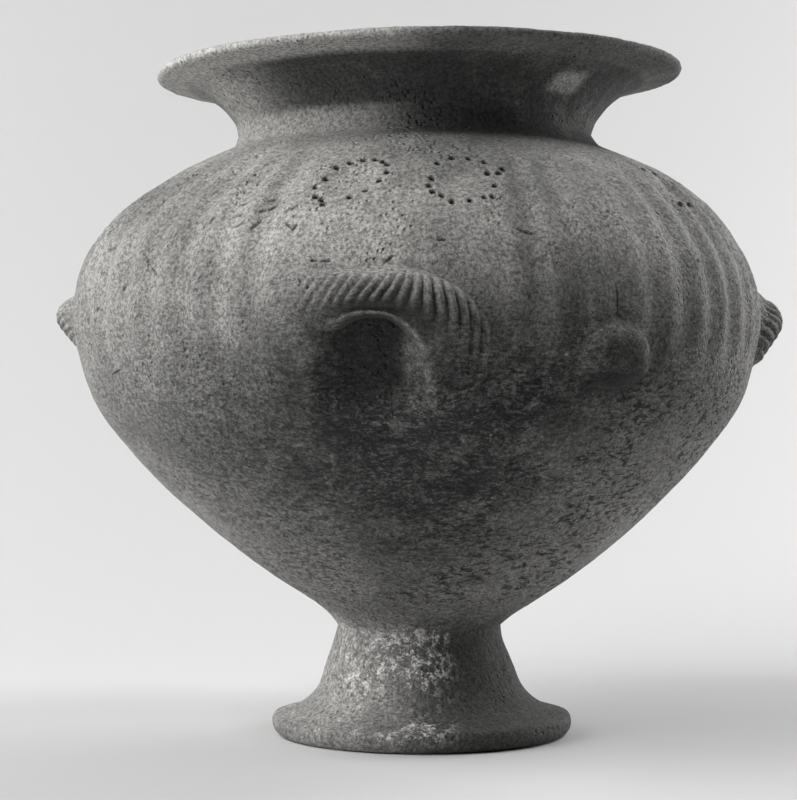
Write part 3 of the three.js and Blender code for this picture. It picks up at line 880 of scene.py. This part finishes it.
def makeClay():
    material = bpy.data.materials.new("impastoClay")
    material.use_nodes = True
    made = Tree(material.node_tree)
    shader = material.node_tree.nodes["Principled BSDF"]
    place = made.add("ShaderNodeTexCoord").outputs["Object"]
    parts = made.add("ShaderNodeSeparateXYZ", place).outputs
    x, y, z = parts["X"], parts["Y"], parts["Z"]

    def noise(scale, detail, roughness=0.6, distortion=0.0, where=None):
        node = made.add("ShaderNodeTexNoise")
        made.put(node.inputs["Vector"], where or place)
        node.inputs["Scale"].default_value = scale
        node.inputs["Detail"].default_value = detail
        node.inputs["Roughness"].default_value = roughness
        node.inputs["Distortion"].default_value = distortion
        return node.outputs[0]

    def band(value, low, high, toLow=0.0, toHigh=1.0):
        node = made.add("ShaderNodeMapRange", value, low, high, toLow, toHigh, interpolation_type="SMOOTHSTEP")
        return node.outputs[0]

    def slope(value, name):
        return band(value, *clayPlaces[name])

    def cover(colour, share, name):
        node = made.add("ShaderNodeMix", data_type="RGBA")
        made.put(node.inputs["Factor"], share)
        made.put(node.inputs["A"], colour)
        made.put(node.inputs["B"], (*clayColours[name], 1))
        return node.outputs["Result"]

    def own(name):
        node = made.add("ShaderNodeAttribute", attribute_name=name)
        return node.outputs["Fac"]

    worn = band(noise(9.0, 5, 0.65), 0.38, 0.66)
    colour = cover((*clayColours["middle"], 1), worn, "pale")
    # smoke-darkened front below the shoulder, ragged at its edge and flaking
    ragged = made.times(made.math("SUBTRACT", noise(15.0, 7, 0.7), 0.5), clayFinish["ragged"])
    raggedX = made.math("ADD", x, ragged)
    smoked = made.times(slope(made.math("ADD", z, ragged), "smokeTop"), slope(y, "smokeFront"),
                        slope(raggedX, "smokeLeft"), slope(raggedX, "smokeRight"))
    patchy = made.times(smoked, band(noise(34.0, 8, 0.75), 0.36, 0.52, 0.72, 1.0))
    colour = cover(colour, patchy, "smoke")
    # soot, with painted shade under the rim and on the shaded right of the neck
    sootAndShade = made.times(own("sootAndShade"), band(noise(24.0, 6, 0.7), 0.3, 0.5, 0.6, 0.95))
    colour = cover(colour, sootAndShade, "sootAndShade")
    flaked = made.times(band(noise(60.0, 6, 0.7, 0.6), 0.55, 0.6), smoked)
    colour = cover(colour, made.times(flaked, clayShares["flaked"]), "flake")
    # grit and fine holes, drawn out along the wall by the scraping
    flatness = (1.0, 1.0, clayFinish["flatness"])
    flat = made.add("ShaderNodeVectorMath", place, flatness, operation="MULTIPLY").outputs[0]
    scraped = noise(330.0, 7, 0.9, 0.0, flat)
    low = slope(z, "low")
    grit = made.times(band(scraped, 0.5, 0.58), low, band(noise(30.0, 4, 0.7), 0.36, 0.56, 0.3, 1.0))
    colour = cover(colour, made.times(grit, clayShares["grit"]), "grit")
    holes = made.times(band(scraped, 0.47, 0.41), low, clayShares["holes"])
    colour = cover(colour, holes, "hole")
    # the right of the foot is dark, and a pale crust clings to its stem and to the edge of its rim
    footRight = made.times(slope(z, "footTop"), slope(x, "footRight"), slope(y, "footBack"))
    colour = cover(colour, footRight, "footRight")
    onEdge = made.times(slope(z, "edgeTop"), slope(z, "edgeLow"))
    crust = made.times(band(noise(210.0, 8, 0.85), 0.5, 0.55), band(noise(38.0, 3, 0.6), 0.4, 0.52),
                       made.math("MAXIMUM", slope(z, "crustLow"), onEdge), slope(z, "crustTop"),
                       slope(x, "crustLeft"), slope(x, "crustRight"))
    colour = cover(colour, made.times(crust, clayShares["crust"]), "crust")
    # the piece's own tone: rubbed clay, pale specks and painted highlights above zero, painted shade below it
    tone = own("tone")
    rubbedAndLit = made.math("MINIMUM", made.math("MAXIMUM", tone, 0.0), clayShares["rubbedAndLitMost"])
    colour = cover(colour, rubbedAndLit, "rubbedAndLit")
    shadeShare = made.math("MAXIMUM", made.times(tone, clayShares["paintedShade"]), 0.0)
    colour = cover(colour, made.math("MINIMUM", shadeShare, clayShares["paintedShadeMost"]), "paintedShade")
    # coarse dark pocks where the low wall's skin has come away, most of them on the right
    pocked = made.times(band(noise(210.0, 5, 0.75, 0.3, flat), 0.535, 0.56),
                        band(noise(26.0, 3, 0.6), 0.38, 0.52, 0.35, 1.0),
                        slope(z, "pockTop"), slope(x, "pockLeft"), slope(z, "pockFoot"))
    colour = cover(colour, made.times(pocked, clayShares["pocked"]), "pock")
    speckle = band(noise(clayFinish["speckleScale"], 5, 0.9), 0.36, 0.64, *clayFinish["speckle"])
    made.put(shader.inputs["Base Color"], made.scaled(colour, speckle))
    shader.inputs["Roughness"].default_value = clayFinish["roughness"]
    shader.inputs["Specular IOR Level"].default_value = clayFinish["specular"]
    height = made.math("ADD", made.times(noise(480.0, 5, 0.7), clayFinish["fineBump"]),
                       made.times(noise(140.0, 4, 0.6), clayFinish["wideBump"]))
    cells = made.add("ShaderNodeTexVoronoi", feature="F1")
    made.put(cells.inputs["Vector"], place)
    cells.inputs["Scale"].default_value = 330.0
    pits = made.times(band(cells.outputs["Distance"], 0.0, 0.4, -1.0, 0.0), band(noise(40.0, 3), 0.48, 0.62))
    height = made.math("ADD", height, made.times(pits, clayFinish["pitBump"]))
    height = made.math("SUBTRACT", height, made.times(pocked, clayFinish["pockBump"]))
    bump = made.add("ShaderNodeBump")
    bump.inputs["Strength"].default_value = clayFinish["bump"]
    bump.inputs["Distance"].default_value = clayFinish["bumpDepth"]
    made.put(bump.inputs["Height"], height)
    made.put(shader.inputs["Normal"], bump.outputs[0])
    return material


clay = makeClay()
vessel = makeVessel()
marks = marksOnWall()
refineNear(vessel, marks)
fixNormals(vessel)
vessel.data.shade_smooth()
applyTree(vessel, vesselTree(), relief)
pressIn(vessel, marks)
print("vessel made, triangles:", trianglesIn(vessel))
rolls = [makeRoll(item) for item in handles]
ropeRidges = ropeTree()
for roll, item in zip(rolls, handles):
    fixNormals(roll)
    roll.data.shade_smooth()
    applyTree(roll, ropeRidges, {**ridges, "Pitch": item["pitch"]})
print("handles made, triangles:", [trianglesIn(roll) for roll in rolls])
for piece in [vessel] + rolls:
    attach(piece, "root")
    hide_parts("olla")

# floor, light and camera

stageSizes = {
    "floorHalf": 3.0, "curveStart": 0.25, "curveRadius": 0.9, "wallTop": 4.0, "floorGrey": 0.54,
    "cameraDistance": 1.05, "cameraHeight": 0.158, "lens": 94.5, "sensor": 36,
    "shiftX": -20 / 800, "shiftY": 16 / 800, "worldLight": 0.02,
}


def makeFloor():
    # a floor that curves up into a plain wall behind the jar
    half, start, rise = stageSizes["floorHalf"], stageSizes["curveStart"], stageSizes["curveRadius"]
    edge = [(-half, 0.0), (start, 0.0)]
    for turn in np.linspace(0.1, math.pi / 2, 18):
        edge.append((start + rise * math.sin(turn), rise * (1 - math.cos(turn))))
    edge.append((start + rise, stageSizes["wallTop"]))
    points = [(side * half, y, z) for y, z in edge for side in (-1, 1)]
    faces = [(2 * i, 2 * i + 1, 2 * i + 3, 2 * i + 2) for i in range(len(edge) - 1)]
    floor = meshFrom("floor", points, faces)
    floor.data.shade_smooth()
    material = bpy.data.materials.new("paleSweep")
    material.use_nodes = True
    shader = material.node_tree.nodes["Principled BSDF"]
    shader.inputs["Base Color"].default_value = (*[stageSizes["floorGrey"]] * 3, 1)
    shader.inputs["Roughness"].default_value = 0.95
    # seen from outside the sweep is clear, so the jar shows from every side
    made = Tree(material.node_tree)
    outside = made.add("ShaderNodeNewGeometry").outputs["Backfacing"]
    clear = made.add("ShaderNodeBsdfTransparent").outputs[0]
    oneSided = made.add("ShaderNodeMixShader", outside, shader.outputs[0], clear).outputs[0]
    made.put(material.node_tree.nodes["Material Output"].inputs["Surface"], oneSided)
    floor.data.materials.append(material)


def addLight(light):
    data = bpy.data.lights.new(light["name"], "AREA")
    data.shape = "DISK"
    data.size = light["size"]
    data.energy = light["power"]
    lamp = bpy.data.objects.new(light["name"], data)
    bpy.context.scene.collection.objects.link(lamp)
    lamp.location = light["place"]
    aim = Vector(light["target"]) - Vector(light["place"])
    lamp.rotation_euler = aim.to_track_quat("-Z", "Y").to_euler()


def addCamera():
    data = bpy.data.cameras.new("photoView")
    camera = bpy.data.objects.new("photoView", data)
    bpy.context.scene.collection.objects.link(camera)
    camera.location = (0, -stageSizes["cameraDistance"], stageSizes["cameraHeight"])
    camera.rotation_euler = (math.pi / 2, 0, 0)
    data.sensor_width = stageSizes["sensor"]
    data.lens = stageSizes["lens"]
    data.shift_x = stageSizes["shiftX"]
    data.shift_y = stageSizes["shiftY"]
    bpy.context.scene.camera = camera


makeFloor()
lights = [
    {"name": "key", "place": (-1.25, -0.7, 1.35), "target": (0, 0, 0.2), "size": 1.6, "power": 45},
    {"name": "lowLeft", "place": (-1.3, -0.6, 0.12), "target": (0, 0, 0.2), "size": 0.8, "power": 8},
    {"name": "sideRight", "place": (1.2, 0.75, 0.4), "target": (0, 0, 0.16), "size": 1.0, "power": 16},
    {"name": "sideLeft", "place": (-1.3, 0.7, 0.4), "target": (0, 0, 0.18), "size": 1.0, "power": 8},
    {"name": "backdropLeft", "place": (-1.6, 0.1, 1.6), "target": (-0.2, 1.1, 0.5), "size": 1.0, "power": 1},
    {"name": "backdropRight", "place": (1.6, 0.1, 1.6), "target": (0.3, 1.0, 0.3), "size": 1.0, "power": 0.5},
    {"name": "floorRight", "place": (0.85, 0.3, 1.1), "target": (0.36, 0.2, 0), "size": 0.6, "power": 9},
]
for light in lights:
    addLight(light)
world = bpy.data.worlds.new("studio")
world.use_nodes = True
background = world.node_tree.nodes["Background"]
background.inputs["Color"].default_value = (1, 1, 1, 1)
background.inputs["Strength"].default_value = stageSizes["worldLight"]
bpy.context.scene.world = world
bpy.context.scene.view_settings.view_transform = "Standard"
addCamera()
print("stage, light and camera made")
